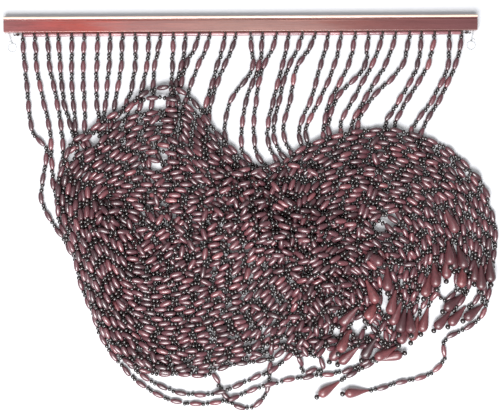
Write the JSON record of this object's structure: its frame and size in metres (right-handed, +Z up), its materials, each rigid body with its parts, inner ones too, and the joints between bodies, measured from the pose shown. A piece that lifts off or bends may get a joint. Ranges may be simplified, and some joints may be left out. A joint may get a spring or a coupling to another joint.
{
  "type": "bead curtain with hanging bar",
  "caption": "Door curtain of wooden bead strands with pear-shaped end drops, laced under a varnished bar and laid down flat in a reversed S.",
  "frame": {"origin": "middle of the whole object's box, on the surface it lies on", "axes": "+X along the bar to the right as seen from above with the bar at the top, +Y from the heap towards the bar, +Z up from the surface"},
  "size_m": [0.9368, 0.7484, 0.0456],
  "materials": {
    "lacquered_wood": "gloss varnish over red mahogany stain",
    "beads": "gloss varnish over dark mahogany stain",
    "clear_line": "clear nylon line"
  },
  "bodies": {
    "root": {"bar": "lacquered_wood", "bead_comb": "beads", "hang_loop_left": "clear_line", "hang_loop_right": "clear_line"}
  },
  "joints": []
}
